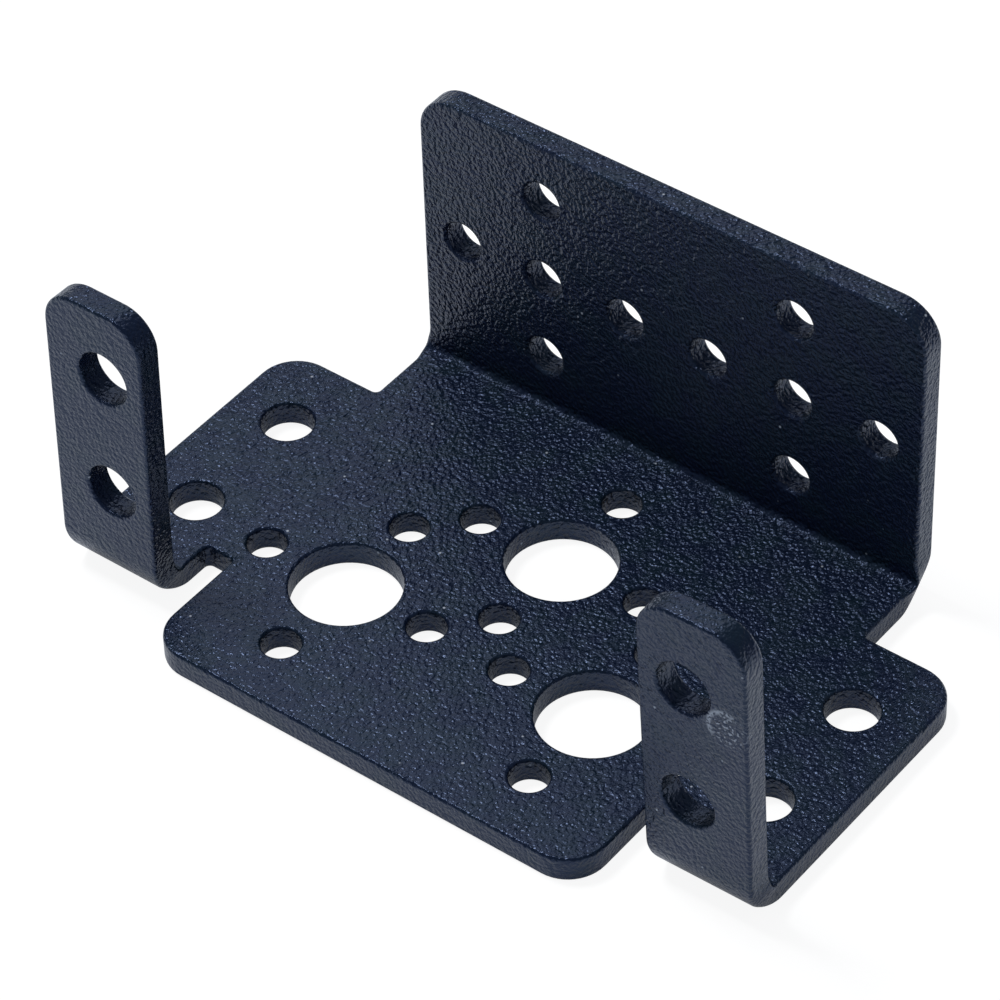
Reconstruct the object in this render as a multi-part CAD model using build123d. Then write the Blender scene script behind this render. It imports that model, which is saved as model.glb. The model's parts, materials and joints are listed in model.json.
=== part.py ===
"""Motor mounting bracket, folded from one sheet.

A flat base carries three round horn patterns and two side ears. A wide flange
stands up along the back edge and a narrow tab stands up at the front of each
ear. Everything is cut and bent from one blank, so the part is one solid. The
holes come first, and the outline follows them at named margins.

Millimetres, +Z up, +Y towards the flange. The origin is under the middle of the
part, on the plane of the base's underside. Lengths along Y start at the row
through the two front horn holes, and heights at the base's top face.
"""
from build123d import *
import os

# Sheet
sheet_thickness = 2.0
edge_round = 0.25           # softened edge all round the blank and round each hole
corner_radius = 3.0         # outside corners of the tongue, the ears and the flange
inside_corner_radius = 0.4  # where an ear meets the neck, and at the ends of the notches

# Horn patterns in the base: a clearance hole with four screw holes on a circle
horn_pitch_x = 21.0         # between the two front patterns
horn_pitch_y = 10.5         # front row to the middle pattern
horn_bore = 7.9
horn_circle = 14.0
horn_screw_hole = 2.8
tongue_margin = 5.1         # foremost screw holes to the front edge of the tongue

# Columns of holes for a motor's mounting lugs, in the ears and in the tabs above them
lug_span = 48.3             # between the left and the right column
lug_pitch = 10.0            # between the two holes of a column
lug_outer_margin = 4.85     # column to the outer edge
lug_inner_margin = 3.5      # column to the tab's inner edge
ear_hole = 3.8
ear_hole_first = 0.4
ear_back_margin = 6.1       # last ear hole to the back edge

# Back flange. Its fold is struck sharp inside, which leaves it thin and well rounded outside
flange_face = 22.6          # its inner face
flange_inside_bend = 0.4
flange_outside_bend = 3.8
flange_hole = 3.05
flange_pitch_x = 21.0       # between the two patterns of holes
flange_circle = 14.0
flange_hole_height = 11.45  # centres of the patterns
flange_side_margin = 3.45   # outermost holes to the sides of the flange and the neck
flange_top_margin = 4.85    # highest holes to the top edge

# Front tabs
tab_face = 8.0              # their outer faces, ahead of the front horn row
tab_inside_bend = 0.7
tab_outside_bend = 3.4
tab_corner_radius = 2.7
tab_hole = 4.05
tab_hole_first = 6.9        # height of the lower hole
tab_top_margin = 5.6        # upper hole to the top edge

# Relief notches beside the tongue
notch_width = 2.4
notch_past_bend = 1.95      # from the start of the tab's bend to the closed end

# Worked out from the sizes above
half_width = lug_span / 2 + lug_outer_margin
neck_half = flange_pitch_x / 2 + flange_circle / 2 + flange_side_margin
tab_inside = lug_span / 2 - lug_inner_margin
tongue_half = tab_inside - notch_width
tongue_front = -horn_circle / 2 - tongue_margin
ear_back = ear_hole_first + lug_pitch + ear_back_margin
flange_back = flange_face + sheet_thickness
flange_bend_start = flange_back - flange_outside_bend
flange_height = flange_hole_height + flange_circle / 2 + flange_top_margin
tab_bend_start = tab_outside_bend - tab_face
tab_height = tab_hole_first + lug_pitch + tab_top_margin
notch_end = tab_bend_start + notch_past_bend
front = min(tongue_front, -tab_face)
middle = (front + flange_back) / 2
tiny = 1e-4
smooth_angle = 5            # degrees, below which two faces run into each other


def strip(half, start, end):
    """A rectangle of the blank, centred on X and running from start to end along Y."""
    return Pos(0, (start + end) / 2) * Rectangle(2 * half, end - start)


def round_corners(face, x, y, radius):
    """Round the mirrored pair of corners at plus and minus x."""
    pair = [v for v in face.vertices() if abs(abs(v.X) - x) < tiny and abs(v.Y - y) < tiny]
    return fillet(pair, radius)


def base_outline():
    """The flat part of the blank, up to the three bend lines."""
    notch_x = (tongue_half + tab_inside) / 2
    notch_length = notch_end - front
    face = strip(tongue_half, tongue_front, 0)
    face += strip(half_width, tab_bend_start, ear_back)
    face += strip(neck_half, 0, flange_bend_start)
    for side in (-1, 1):
        face -= Pos(side * notch_x, notch_end - notch_length) * Rectangle(notch_width, 2 * notch_length)
    face = round_corners(face, tongue_half, tongue_front, corner_radius)
    face = round_corners(face, half_width, ear_back, corner_radius)
    for x, y in ((neck_half, ear_back), (tongue_half, notch_end), (tab_inside, notch_end)):
        face = round_corners(face, x, y, inside_corner_radius)
    return face


def upright(outer_y, toward, inside_bend, outside_bend, height, x_start, x_end, radius):
    """A leaf bent up from the base, from its bend line to its rounded top corners.

    outer_y is the outer face, and toward is 1 for a leaf at the back or -1 at the front.
    """
    start_y = outer_y - toward * outside_bend
    inner_y = outer_y - toward * sheet_thickness
    top = sheet_thickness + height
    outer_corner = (outer_y, 0)
    inner_corner = (inner_y, sheet_thickness)
    points = [(start_y, 0), outer_corner, (outer_y, top), (inner_y, top), inner_corner, (start_y, sheet_thickness)]
    section = make_face(Polyline(points, close=True))
    for corner, bend in ((outer_corner, outside_bend), (inner_corner, inside_bend)):
        section = fillet(section.vertices().sort_by_distance(corner)[0], bend)
    leaf = Pos(x_start, 0, 0) * extrude(Plane.YZ * section, x_end - x_start, dir=(1, 0, 0))
    corners = leaf.edges().filter_by(Axis.Y).group_by(Axis.Z)[-1]
    wall_limit = 0.48 * (x_end - x_start)
    return fillet(corners, min(radius, wall_limit))


def drill_down(x, y, diameter):
    """A cutter for a hole through the base."""
    return Pos(x, y, sheet_thickness / 2) * Cylinder(diameter / 2, 2 * sheet_thickness)


def drill_through(x, y, height, diameter):
    """A cutter for a hole through an upright leaf whose mid-plane is at y."""
    return Pos(x, y, sheet_thickness + height) * Rot(90, 0, 0) * Cylinder(diameter / 2, 2 * sheet_thickness)


def base_cutters():
    """Three horn patterns, and a column of holes in each ear."""
    cutters = []
    centres = [(-horn_pitch_x / 2, 0), (horn_pitch_x / 2, 0), (0, horn_pitch_y)]
    for x, y in centres:
        cutters.append(drill_down(x, y, horn_bore))
        for place in PolarLocations(horn_circle / 2, 4):
            screw = place.position
            cutters.append(drill_down(x + screw.X, y + screw.Y, horn_screw_hole))
    for x in (-lug_span / 2, lug_span / 2):
        for y in (ear_hole_first, ear_hole_first + lug_pitch):
            cutters.append(drill_down(x, y, ear_hole))
    return cutters


def flange_cutters():
    """Two patterns, each a middle hole with four more on a circle."""
    y = flange_face + sheet_thickness / 2
    cutters = []
    for x in (-flange_pitch_x / 2, flange_pitch_x / 2):
        cutters.append(drill_through(x, y, flange_hole_height, flange_hole))
        for place in PolarLocations(flange_circle / 2, 4):
            hole = place.position
            cutters.append(drill_through(x + hole.X, y, flange_hole_height + hole.Y, flange_hole))
    return cutters


def tab_cutters():
    """A column of two holes in each tab."""
    y = sheet_thickness / 2 - tab_face
    cutters = []
    for x in (-lug_span / 2, lug_span / 2):
        for height in (tab_hole_first, tab_hole_first + lug_pitch):
            cutters.append(drill_through(x, y, height, tab_hole))
    return cutters


def cut_edges(solid):
    """Every sharp edge: the smooth joins between a flat and a bend or a rounded corner stay."""
    faces = solid.faces()
    sharp = []
    for edge in solid.edges():
        sides = [face for face in faces if any(edge.is_same(other) for other in face.edges())]
        normals = [side.normal_at(edge @ 0.5) for side in sides]
        if len(normals) == 2 and normals[0].get_angle(normals[1]) > smooth_angle:
            sharp.append(edge)
    return sharp


bracket = extrude(base_outline(), sheet_thickness)
bracket += upright(
    flange_back, 1, flange_inside_bend, flange_outside_bend, flange_height, -neck_half, neck_half, corner_radius
)
for start, end in ((-half_width, -tab_inside), (tab_inside, half_width)):
    bracket += upright(
        -tab_face, -1, tab_inside_bend, tab_outside_bend, tab_height, start, end, tab_corner_radius
    )
for cutter in base_cutters() + flange_cutters() + tab_cutters():
    bracket -= cutter
bracket = fillet(cut_edges(bracket), edge_round)
bracket = Pos(0, -middle, 0) * bracket
bracket.label = "bracket"

os.makedirs("parts", exist_ok=True)
export_step(bracket, "parts/bracket.step")
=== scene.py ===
import json
import math

import bmesh
import bpy
from mathutils import Euler, Matrix, Vector


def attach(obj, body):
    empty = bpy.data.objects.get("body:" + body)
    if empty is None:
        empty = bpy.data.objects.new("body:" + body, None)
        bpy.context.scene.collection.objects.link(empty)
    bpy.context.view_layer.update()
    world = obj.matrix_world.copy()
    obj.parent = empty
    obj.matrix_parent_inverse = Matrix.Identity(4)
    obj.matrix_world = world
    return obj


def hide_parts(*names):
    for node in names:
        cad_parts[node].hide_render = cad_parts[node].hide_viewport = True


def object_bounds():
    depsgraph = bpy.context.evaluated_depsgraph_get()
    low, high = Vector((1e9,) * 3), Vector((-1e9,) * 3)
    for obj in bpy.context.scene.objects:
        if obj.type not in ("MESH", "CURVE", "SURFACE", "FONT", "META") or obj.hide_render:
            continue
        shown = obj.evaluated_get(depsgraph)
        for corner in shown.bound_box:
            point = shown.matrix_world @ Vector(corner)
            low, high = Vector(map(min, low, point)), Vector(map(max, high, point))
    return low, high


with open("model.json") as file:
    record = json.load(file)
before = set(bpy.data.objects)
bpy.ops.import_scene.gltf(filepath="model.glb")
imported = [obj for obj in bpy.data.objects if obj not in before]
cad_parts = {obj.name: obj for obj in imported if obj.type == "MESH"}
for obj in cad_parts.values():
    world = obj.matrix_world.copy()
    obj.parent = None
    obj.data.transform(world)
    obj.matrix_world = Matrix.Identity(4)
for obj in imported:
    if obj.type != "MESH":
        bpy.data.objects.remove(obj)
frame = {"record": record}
cadLow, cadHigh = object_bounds()
mounts = {mount["name"]: mount for mount in frame["record"]["mounts"]}
mm = 0.001
print("frame loaded")


def linearColor(hexText, alpha=1.0):
    # sRGB hex to the linear values that Blender's sockets take
    channels = [int(hexText[i:i + 2], 16) / 255 for i in (1, 3, 5)]
    linear = [c / 12.92 if c <= 0.04045 else ((c + 0.055) / 1.055) ** 2.4 for c in channels]
    return (*linear, alpha)


def addNode(tree, kind, inputs=None, **settings):
    # one node: settings are its properties, inputs are values or what other nodes give
    node = tree.nodes.new(kind)
    for name, value in settings.items():
        setattr(node, name, value)
    for name, value in (inputs or {}).items():
        if isinstance(value, bpy.types.Node):
            value = value.outputs[0]
        if isinstance(value, bpy.types.NodeSocket):
            tree.links.new(value, node.inputs[name])
        else:
            node.inputs[name].default_value = value
    return node


# The blank is one flat sheet. It is cut out with all its holes, its edges are softened by the
# coat, and then the flange and the two tabs are folded up.
blank = {
    "sheet": 2.0 * mm,
    "edgeRound": 0.25 * mm,
    "edgeSteps": 4,
    "cornerRadius": 3.0 * mm,
    "tabCornerRadius": 2.7 * mm,
    "insideCornerRadius": 0.4 * mm,
    "neckHalf": 20.95 * mm,       # the flange is as wide as the neck behind the ears
    "tongueHalf": 18.25 * mm,
    "tabInside": 20.65 * mm,
    "notchEnd": -8.9 * mm,        # along Y, where the slots between tongue and tabs stop
    "earBack": 10.25 * mm,
    "cornerSteps": 12,
    "holeSteps": 64,
    "bendMargin": 0.6 * mm,       # what lies this close beside a tab still bends with it
    "cutMargin": 0.1 * mm,
    "endCuts": (0.45, 0.8, 1.2, 1.7, 2.3, 3.0),    # mm in from each end of a fold
    "swellReach": 1.3 * mm,       # how far in from its end a fold swells
}

flangeFold = {
    "outside": cadHigh.y,         # the flange's back face
    "toward": 1,
    "insideRadius": 0.5 * mm,     # the coat fills the sharp crease a little
    "outsideRadius": 3.8 * mm,
    "cuts": 22,
    "bulge": 0.32 * mm,           # the pressed inside swells out at the fold's ends
    "pull": 0.28 * mm,            # and the stretched outside draws in
}

tabFold = {
    "outside": -14.25 * mm,       # the tabs' front faces
    "toward": -1,
    "insideRadius": 0.7 * mm,
    "outsideRadius": 3.4 * mm,
    "cuts": 18,
    "bulge": 0.3 * mm,
    "pull": 0.25 * mm,
    "leftTop": 24.6 * mm,
    "rightTop": 25.1 * mm,
    "leftLean": (1.6, 0.0),       # degrees: back over the base, and sideways towards +X
    "rightLean": (-0.6, -1.6),
}


def foldSizes(fold):
    # where the bend starts on the base, and the length of sheet that it takes up
    start = fold["outside"] - fold["toward"] * fold["outsideRadius"]
    straight = fold["outsideRadius"] - blank["sheet"] - fold["insideRadius"]
    insideLength = 2 * straight + fold["insideRadius"] * math.pi / 2
    outsideLength = fold["outsideRadius"] * math.pi / 2
    return start, straight, insideLength, (insideLength + outsideLength) / 2


def flatPlace(fold, height):
    # where a point at this height on an upright leaf lies along Y on the flat blank
    start, _, _, length = foldSizes(fold)
    return start + fold["toward"] * (length + height - fold["outsideRadius"])


def blankOutline():
    # corners with their roundings, up the right half from the front and down the left half from the back
    flangeTop = flatPlace(flangeFold, cadHigh.z)
    outer, inner, tabCorner = blank["cornerRadius"], blank["insideCornerRadius"], blank["tabCornerRadius"]
    corners = []
    for side, top in ((1, "rightTop"), (-1, "leftTop")):
        tabTop = flatPlace(tabFold, tabFold[top])
        half = [
            (side * blank["tongueHalf"], cadLow.y, outer),
            (side * blank["tongueHalf"], blank["notchEnd"], inner),
            (side * blank["tabInside"], blank["notchEnd"], inner),
            (side * blank["tabInside"], tabTop, tabCorner),
            (side * cadHigh.x, tabTop, tabCorner),
            (side * cadHigh.x, blank["earBack"], outer),
            (side * blank["neckHalf"], blank["earBack"], inner),
            (side * blank["neckHalf"], flangeTop, outer),
        ]
        corners += half if side > 0 else half[::-1]
    points = []
    for i, (x, y, radius) in enumerate(corners):
        here = Vector((x, y))
        before = (Vector(corners[i - 1][:2]) - here).normalized()
        after = (Vector(corners[(i + 1) % len(corners)][:2]) - here).normalized()
        centre = here + (before + after) * radius
        for step in range(blank["cornerSteps"] + 1):
            turn = step / blank["cornerSteps"] * math.pi / 2
            points.append(centre - after * radius * math.cos(turn) - before * radius * math.sin(turn))
    return points


def ring(x, y, radius):
    steps = blank["holeSteps"]
    turns = [-2 * math.pi * step / steps for step in range(steps)]    # clockwise, so the metal is on the left
    return [Vector((x + radius * math.cos(a), y + radius * math.sin(a))) for a in turns]


def blankHoles():
    # every hole of the record's mounts, laid flat
    rings = []
    for mount in mounts.values():
        dims = mount["dims"]
        x, y, z = mount["pos_m"]
        if mount["kind"] == "bore":
            places, radius = [(0, 0)], dims["r_mm"] * mm
        elif mount["kind"] == "bolt_pattern":
            radius = dims["hole_r_mm"] * mm
            if "pcd_mm" in dims:
                reach = dims["pcd_mm"] / 2 * mm
                places = [(reach, 0), (0, reach), (-reach, 0), (0, -reach)]
            else:
                wide, tall = dims["spacing_x_mm"] / 2 * mm, dims["spacing_y_mm"] / 2 * mm
                places = [(wide, tall), (-wide, tall), (-wide, -tall), (wide, -tall)]
        else:
            continue
        upright = abs(mount["axis"][1]) > 0.5
        fold = flangeFold if y > 0 else tabFold
        for across, along in places:
            place = flatPlace(fold, z + along) if upright else y + along
            rings.append(ring(x + across, place, radius))
    return rings


def softEdge(mesh, kinds, points):
    # a wall round one closed line with rounded top and bottom edges; gives back its lowest and highest rings
    count = len(points)
    inward = []
    for i in range(count):
        along = (points[(i + 1) % count] - points[i - 1]).normalized()
        inward.append(Vector((-along.y, along.x)))
    radius, steps = blank["edgeRound"], blank["edgeSteps"]
    profile = []
    for step in range(steps + 1):
        turn = step / steps * math.pi / 2
        profile.append((radius * (1 - math.sin(turn)), radius * (1 - math.cos(turn))))
    profile += [(inset, blank["sheet"] - height) for inset, height in reversed(profile)]
    rings = []
    for inset, height in profile:
        rings.append([mesh.verts.new((*(p + n * inset), height)) for p, n in zip(points, inward)])
    for level, (lower, upper) in enumerate(zip(rings, rings[1:])):
        for i in range(count):
            j = (i + 1) % count
            face = mesh.faces.new((lower[i], lower[j], upper[j], upper[i]))
            face[kinds] = 1 if level == steps else 0
    return rings[0], rings[-1]


def closedEdges(mesh, loop):
    return [mesh.edges.get((loop[i - 1], loop[i])) for i in range(len(loop))]


def cutAcross(mesh, axis, place, faces):
    # new edges across these faces, so that they can bend there
    edges = {edge for face in faces for edge in face.edges}
    verts = {vert for face in faces for vert in face.verts}
    normal = Vector((1, 0, 0)) if axis == "x" else Vector((0, 1, 0))
    bmesh.ops.bisect_plane(
        mesh, geom=list(verts) + list(edges) + faces, dist=1e-7, plane_co=normal * place, plane_no=normal
    )


def cutForFold(mesh, fold, ends):
    # lines along the fold, and close lines across it near its ends, where the metal swells
    start, _, _, length = foldSizes(fold)
    low, high = sorted((start, start + fold["toward"] * length))
    nearest = min(abs(end) for end in ends) - blank["cutMargin"] if len(ends) > 2 else 0

    def crossing():
        faces = []
        for face in mesh.faces:
            along = [vert.co.y for vert in face.verts]
            if max(abs(vert.co.x) for vert in face.verts) > nearest and max(along) > low and min(along) < high:
                faces.append(face)
        return faces

    for step in range(fold["cuts"] + 1):
        cutAcross(mesh, "y", low + (high - low) * step / fold["cuts"], crossing())
    for end in ends:
        inward = -1 if end > 0 else 1
        if nearest and abs(end) < nearest + mm:
            inward = -inward
        for away in blank["endCuts"]:
            inFold = [face for face in crossing() if low < face.calc_center_median().y < high]
            cutAcross(mesh, "x", end + inward * away * mm, inFold)


def foldLeaf(mesh, fold, ends, lean=(0, 0), side=0):
    # bends every vertex beyond the fold's start; the inside keeps a sharp crease and the outside a wide curve
    start, straight, insideLength, length = foldSizes(fold)
    toward, sheet = fold["toward"], blank["sheet"]
    inside, outside = fold["insideRadius"], fold["outsideRadius"]
    creaseY = fold["outside"] - toward * sheet
    for vert in mesh.verts:
        beyond = (vert.co.y - start) * toward
        if beyond <= 0 or (side and side * vert.co.x <= blank["tabInside"] - blank["bendMargin"]):
            continue
        share = min(beyond / length, 1.0)
        extra = max(beyond - length, 0.0)
        turn = share * math.pi / 2
        outY = start + toward * outside * math.sin(turn)
        outZ = outside * (1 - math.cos(turn))
        walked = share * insideLength
        if walked < straight:
            inY, inZ = start + toward * walked, sheet
        elif walked < insideLength - straight:
            corner = (walked - straight) / inside
            inY = start + toward * (straight + inside * math.sin(corner))
            inZ = sheet + inside * (1 - math.cos(corner))
        else:
            inY = creaseY
            inZ = outside - (insideLength - walked)
        depth = vert.co.z / sheet                            # 0 on the outside, 1 on the inside
        place = Vector((vert.co.x, outY + (inY - outY) * depth, outZ + (inZ - outZ) * depth + extra))
        middle = math.sin(share * math.pi) ** 2
        for end in ends:
            outward = 1 if end == max(ends) else -1
            away = (end - vert.co.x) * outward
            near = math.exp(-(away / blank["swellReach"]) ** 2)
            place.x += outward * near * middle * (fold["bulge"] * depth ** 2 - fold["pull"] * (1 - depth) ** 2)
        pivot = Vector((sum(ends) / len(ends), creaseY, sheet))
        smooth = share * share * (3 - 2 * share)
        back = Matrix.Rotation(-math.radians(lean[0]) * smooth, 3, "X")
        sideways = Matrix.Rotation(math.radians(lean[1]) * smooth, 3, "Y")
        vert.co = pivot + sideways @ back @ (place - pivot)


def shadingNormals(mesh, kinds):
    # flat faces keep their own normal right up to the soft edge, then the walls, and the soft edge turns between
    normals = []
    for vert in mesh.verts:
        kind = max(face[kinds] for face in vert.link_faces)
        total = Vector((0, 0, 0))
        for loop in vert.link_loops:
            if loop.face[kinds] == kind:
                total += loop.face.normal * loop.calc_angle()
        normals.append(total.normalized())
    return normals


def makeSheet():
    mesh = bmesh.new()
    kinds = mesh.faces.layers.int.new("kind")    # 0 soft edge, 1 wall, 2 face of the sheet
    bottoms, tops = [], []
    for points in [blankOutline()] + blankHoles():
        bottom, top = softEdge(mesh, kinds, points)
        bottoms += closedEdges(mesh, bottom)
        tops += closedEdges(mesh, top)
    for edges in (bottoms, tops):
        for part in bmesh.ops.triangle_fill(mesh, edges=edges, use_beauty=True)["geom"]:
            if isinstance(part, bmesh.types.BMFace):
                part[kinds] = 2
    bmesh.ops.recalc_face_normals(mesh, faces=mesh.faces)
    flangeEnds = (-blank["neckHalf"], blank["neckHalf"])
    leftEnds = (cadLow.x, -blank["tabInside"])
    rightEnds = (blank["tabInside"], cadHigh.x)
    cutForFold(mesh, flangeFold, flangeEnds)
    cutForFold(mesh, tabFold, leftEnds + rightEnds)
    foldLeaf(mesh, flangeFold, flangeEnds)
    foldLeaf(mesh, tabFold, leftEnds, tabFold["leftLean"], -1)
    foldLeaf(mesh, tabFold, rightEnds, tabFold["rightLean"], 1)
    for face in mesh.faces:
        face.smooth = True
    mesh.normal_update()
    normals = shadingNormals(mesh, kinds)
    data = bpy.data.meshes.new("foldedSheet")
    mesh.to_mesh(data)
    mesh.free()
    data.normals_split_custom_set_from_vertices(normals)
    sheet = bpy.data.objects.new("foldedSheet", data)
    bpy.context.scene.collection.objects.link(sheet)
    return sheet


sheet = makeSheet()
print("sheet cut and folded:", len(sheet.data.polygons), "faces")

# Textured powder coat on sheet aluminium: sprayed on dry and baked, it draws together into a fine
# wrinkled skin. It is dark blue-black and half matt, and each tiny hump catches a point of light.
coatLook = {
    "color": "#101b31",
    "mottleColor": "#13222f",
    "mottleSize": 2.5 * mm,
    "mottleDetail": 2.0,
    "mottleEdges": (0.4, 0.65),
    "glossColor": "#b4ccff",
    "gloss": 0.58,
    "roughness": 0.26,
    "humpSize": 0.27 * mm,
    "humpDetail": 1.2,
    "humpHeight": 0.14 * mm,
    "domeSize": 0.33 * mm,
    "domeCurve": 2.0,
    "domeShare": 0.45,
    "reliefFront": 0.65,          # the coat came out coarser towards the flange
    "reliefBack": 1.3,
    "dustColor": "#ccd3de",
    "dustSpacing": 1.7 * mm,
    "dustSize": 0.09 * mm,
    "dustEdges": (0.6, 1.4),      # a grain fades between these shares of its size
    "dustShare": 0.45,            # of the cells hold a grain
    "markCover": 0.9,
    "markRoughness": 0.4,
}

# where something rubbed the front of the right tab, below its upper hole
scuff = {
    "place": (27.0 * mm, -14.25 * mm, 17.3 * mm),
    "radius": 1.35 * mm,
    "width": 0.3 * mm,
    "reach": 2.1 * mm,
    "core": 0.5 * mm,
    "towards": (-0.8, 0, 0.6),    # the side on which the arc lies
    "fade": 0.6 * mm,
    "grain": 0.2 * mm,
    "rubbedEdges": (0.36, 0.5),
    "looseEdges": (0.6, 0.68),
}


def texturedPowderCoat():
    coat = bpy.data.materials.new("texturedPowderCoat")
    coat.use_nodes = True
    tree = coat.node_tree
    shader = tree.nodes["Principled BSDF"]
    shader.inputs["Specular IOR Level"].default_value = coatLook["gloss"]
    shader.inputs["Specular Tint"].default_value = linearColor(coatLook["glossColor"])
    place = addNode(tree, "ShaderNodeTexCoord").outputs["Object"]

    # the skin: uneven humps and rounded domes
    humps = addNode(
        tree, "ShaderNodeTexNoise",
        {"Scale": 1 / coatLook["humpSize"], "Detail": coatLook["humpDetail"], "Vector": place},
    )
    domes = addNode(tree, "ShaderNodeTexVoronoi", {"Scale": 1 / coatLook["domeSize"], "Vector": place})
    domes = addNode(tree, "ShaderNodeMath", {0: domes, 1: coatLook["domeCurve"]}, operation="POWER")
    skin = addNode(
        tree, "ShaderNodeMath", {0: domes, 1: -coatLook["domeShare"], 2: humps}, operation="MULTIPLY_ADD"
    )
    along = addNode(tree, "ShaderNodeSeparateXYZ", {"Vector": place}).outputs["Y"]
    coarse = addNode(
        tree, "ShaderNodeMapRange",
        {"Value": along, "From Min": cadLow.y, "From Max": cadHigh.y,
         "To Min": coatLook["reliefFront"], "To Max": coatLook["reliefBack"]},
    )
    skin = addNode(tree, "ShaderNodeMath", {0: skin, 1: coarse}, operation="MULTIPLY")
    relief = addNode(
        tree, "ShaderNodeBump", {"Height": skin, "Strength": 1.0, "Distance": coatLook["humpHeight"]}
    )
    tree.links.new(relief.outputs["Normal"], shader.inputs["Normal"])

    # dust: small pale grains, one in each cell at most
    cells = addNode(tree, "ShaderNodeTexVoronoi", {"Scale": 1 / coatLook["dustSpacing"], "Vector": place})
    grainCore, grainRim = [coatLook["dustSize"] / coatLook["dustSpacing"] * edge for edge in coatLook["dustEdges"]]
    dust = addNode(
        tree, "ShaderNodeMapRange",
        {"Value": cells, "From Min": grainCore, "From Max": grainRim, "To Min": 1.0, "To Max": 0.0},
        interpolation_type="SMOOTHSTEP",
    )
    chance = addNode(tree, "ShaderNodeSeparateColor", {"Color": cells.outputs["Color"]})
    chosen = addNode(tree, "ShaderNodeMath", {0: chance, 1: 1 - coatLook["dustShare"]}, operation="GREATER_THAN")
    dust = addNode(tree, "ShaderNodeMath", {0: dust, 1: chosen}, operation="MULTIPLY")

    # the scuff: a broken arc and loose grains beside it
    offset = addNode(tree, "ShaderNodeVectorMath", {0: place, 1: scuff["place"]}, operation="SUBTRACT")
    away = addNode(tree, "ShaderNodeVectorMath", {0: offset}, operation="LENGTH").outputs["Value"]
    aside = addNode(
        tree, "ShaderNodeVectorMath", {0: offset, 1: scuff["towards"]}, operation="DOT_PRODUCT"
    ).outputs["Value"]
    offArc = addNode(tree, "ShaderNodeMath", {0: away, 1: scuff["radius"]}, operation="SUBTRACT")
    offArc = addNode(tree, "ShaderNodeMath", {0: offArc}, operation="ABSOLUTE")
    grain = addNode(tree, "ShaderNodeTexNoise", {"Scale": 1 / scuff["grain"], "Detail": 0.0, "Vector": place})
    mottle = addNode(
        tree, "ShaderNodeTexNoise",
        {"Scale": 1 / coatLook["mottleSize"], "Detail": coatLook["mottleDetail"], "Vector": place},
    )
    fades = {
        "arc": (offArc, scuff["width"], 0.0),
        "arcSide": (aside, 0.0, scuff["fade"]),
        "rubbedGrain": (grain, *scuff["rubbedEdges"]),
        "spot": (away, scuff["reach"], scuff["core"]),
        "looseGrain": (grain, *scuff["looseEdges"]),
        "mottle": (mottle, *coatLook["mottleEdges"]),
    }
    for name, (value, start, end) in fades.items():
        fades[name] = addNode(
            tree, "ShaderNodeMapRange", {"Value": value, "From Min": start, "From Max": end},
            interpolation_type="SMOOTHSTEP",
        )
    arc = addNode(tree, "ShaderNodeMath", {0: fades["arc"], 1: fades["arcSide"]}, operation="MULTIPLY")
    rubbed = addNode(tree, "ShaderNodeMath", {0: arc, 1: fades["rubbedGrain"]}, operation="MULTIPLY")
    loose = addNode(tree, "ShaderNodeMath", {0: fades["spot"], 1: fades["looseGrain"]}, operation="MULTIPLY")
    marks = addNode(tree, "ShaderNodeMath", {0: rubbed, 1: loose}, operation="MAXIMUM")
    marks = addNode(tree, "ShaderNodeMath", {0: dust, 1: marks}, operation="MAXIMUM")

    color = addNode(
        tree, "ShaderNodeMix",
        {0: fades["mottle"], 6: linearColor(coatLook["color"]), 7: linearColor(coatLook["mottleColor"])},
        data_type="RGBA",
    )
    cover = addNode(tree, "ShaderNodeMath", {0: marks, 1: coatLook["markCover"]}, operation="MULTIPLY")
    color = addNode(
        tree, "ShaderNodeMix", {0: cover, 6: color.outputs[2], 7: linearColor(coatLook["dustColor"])},
        data_type="RGBA",
    )
    tree.links.new(color.outputs[2], shader.inputs["Base Color"])
    dull = addNode(
        tree, "ShaderNodeMath", {0: marks, 1: coatLook["markRoughness"], 2: coatLook["roughness"]},
        operation="MULTIPLY_ADD",
    )
    tree.links.new(dull.outputs[0], shader.inputs["Roughness"])
    return coat


sheet.data.materials.append(texturedPowderCoat())
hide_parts("bracket")
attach(sheet, "root")
print("coat sprayed")

# White seamless paper, uncoated and matt, so that it shows a soft shadow and no reflection.
stage = {
    "floorSize": 4.0,
    "floorColor": "#e6edf6",
    "floorShown": "#808080",      # lit part of what the eye sees, so that the shadow stays
    "shownGlow": 0.9,             # and the white that is added to it
    "mirrorGlow": 0.36,           # the same for what the coat mirrors
    "floorRoughness": 0.9,
    "worldColor": "#e4edfb",
    "worldStrength": 0.22,
}


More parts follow.
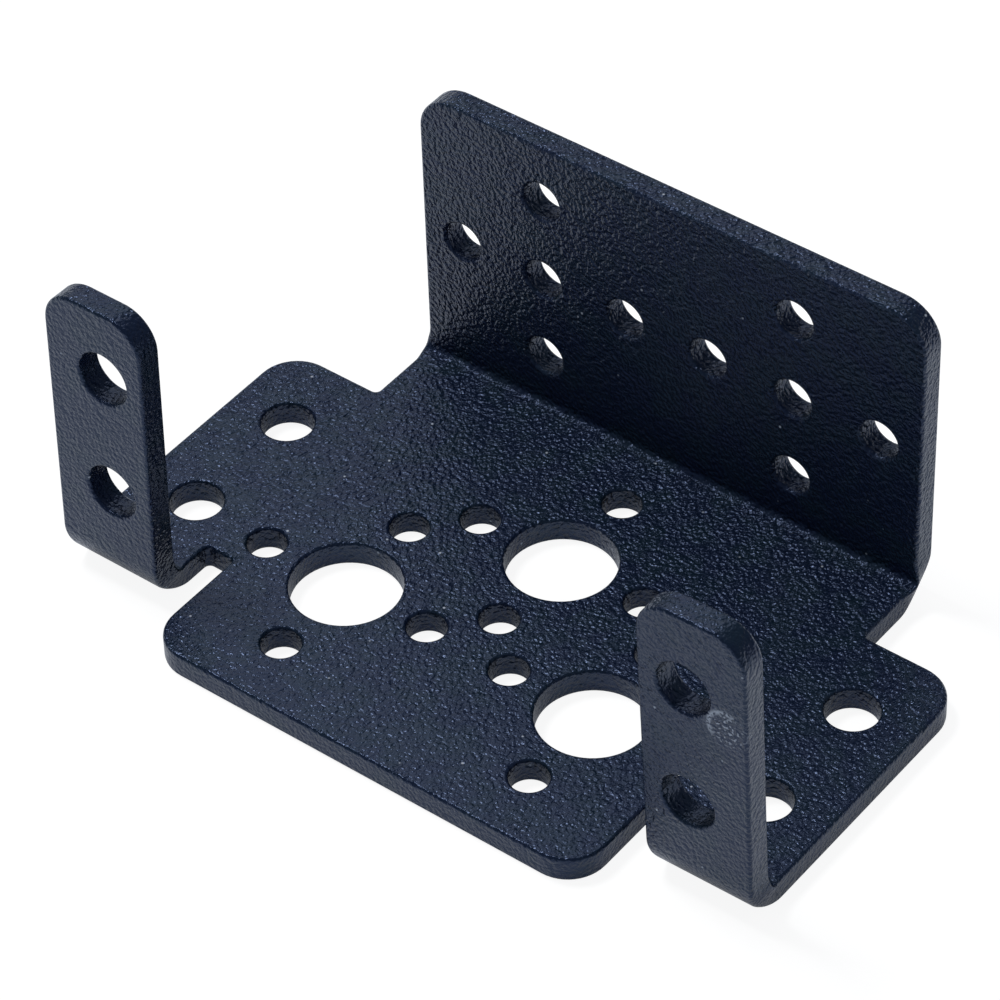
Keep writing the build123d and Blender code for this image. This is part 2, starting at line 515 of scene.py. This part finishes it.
def makeFloor():
    bpy.ops.mesh.primitive_plane_add(size=stage["floorSize"], location=(0, 0, cadLow.z))
    floor = bpy.context.object
    floor.name = "floor"
    paper = bpy.data.materials.new("whitePaper")
    paper.use_nodes = True
    tree = paper.node_tree
    lit = tree.nodes["Principled BSDF"]
    lit.inputs["Roughness"].default_value = stage["floorRoughness"]
    path = addNode(tree, "ShaderNodeLightPath").outputs
    shown = addNode(
        tree, "ShaderNodeMath", {0: path["Is Camera Ray"], 1: path["Is Transmission Ray"]}, operation="MAXIMUM"
    )
    color = addNode(
        tree, "ShaderNodeMix",
        {0: shown, 6: linearColor(stage["floorColor"]), 7: linearColor(stage["floorShown"])},
        data_type="RGBA",
    )
    tree.links.new(color.outputs[2], lit.inputs["Base Color"])
    mirrored = addNode(
        tree, "ShaderNodeMath", {0: path["Is Glossy Ray"], 1: stage["mirrorGlow"]}, operation="MULTIPLY"
    )
    share = addNode(
        tree, "ShaderNodeMath", {0: shown, 1: stage["shownGlow"], 2: mirrored}, operation="MULTIPLY_ADD"
    )
    glow = addNode(tree, "ShaderNodeEmission", {"Color": (1, 1, 1, 1), "Strength": share})
    both = addNode(tree, "ShaderNodeAddShader", {0: lit, 1: glow})
    tree.links.new(both.outputs[0], tree.nodes["Material Output"].inputs["Surface"])
    floor.data.materials.append(paper)


def makeWorld():
    world = bpy.data.worlds.new("studio")
    world.use_nodes = True
    background = world.node_tree.nodes["Background"]
    background.inputs["Color"].default_value = linearColor(stage["worldColor"])
    background.inputs["Strength"].default_value = stage["worldStrength"]
    bpy.context.scene.world = world


lamps = {
    "overhead": {"place": (-0.27, -0.02, 0.56), "size": 0.14, "power": 1.48},
    "backLeft": {"place": (-0.45, 0.5, 0.62), "size": 0.7, "power": 1.3},
}


def areaLamp(name, place, size, power, aim=(0, 0, 0.01)):
    data = bpy.data.lights.new(name, "AREA")
    data.size = size
    data.energy = power
    lamp = bpy.data.objects.new(name, data)
    bpy.context.scene.collection.objects.link(lamp)
    lamp.location = place
    lamp.rotation_euler = (Vector(aim) - Vector(place)).to_track_quat("-Z", "Y").to_euler()


makeFloor()
makeWorld()
for name, lamp in lamps.items():
    areaLamp(name, **lamp)
print("stage lit")

cameraSet = {
    "azimuth": 38.855,            # degrees, 0 looks along +Y
    "elevation": 43.243,
    "roll": -2.05,
    "distance": 0.323,
    "lens": 173.24,
    "sensor": 36,
    "clipStart": 0.01,
    "clipEnd": 10,
    "aim": (-0.00207, 0.00034, 0.00944),
}


def makeCamera():
    data = bpy.data.cameras.new("camera")
    data.lens = cameraSet["lens"]
    data.sensor_width = cameraSet["sensor"]
    data.clip_start = cameraSet["clipStart"]
    data.clip_end = cameraSet["clipEnd"]
    camera = bpy.data.objects.new("camera", data)
    bpy.context.scene.collection.objects.link(camera)
    turn = Euler((math.radians(90 - cameraSet["elevation"]), 0, math.radians(cameraSet["azimuth"])), "XYZ")
    roll = Euler((0, 0, math.radians(cameraSet["roll"])), "XYZ")
    matrix = turn.to_matrix() @ roll.to_matrix()
    camera.matrix_world = matrix.to_4x4()
    camera.location = Vector(cameraSet["aim"]) + matrix @ Vector((0, 0, cameraSet["distance"]))
    bpy.context.scene.camera = camera


makeCamera()
bpy.context.scene.view_settings.view_transform = "Standard"
print("camera placed")
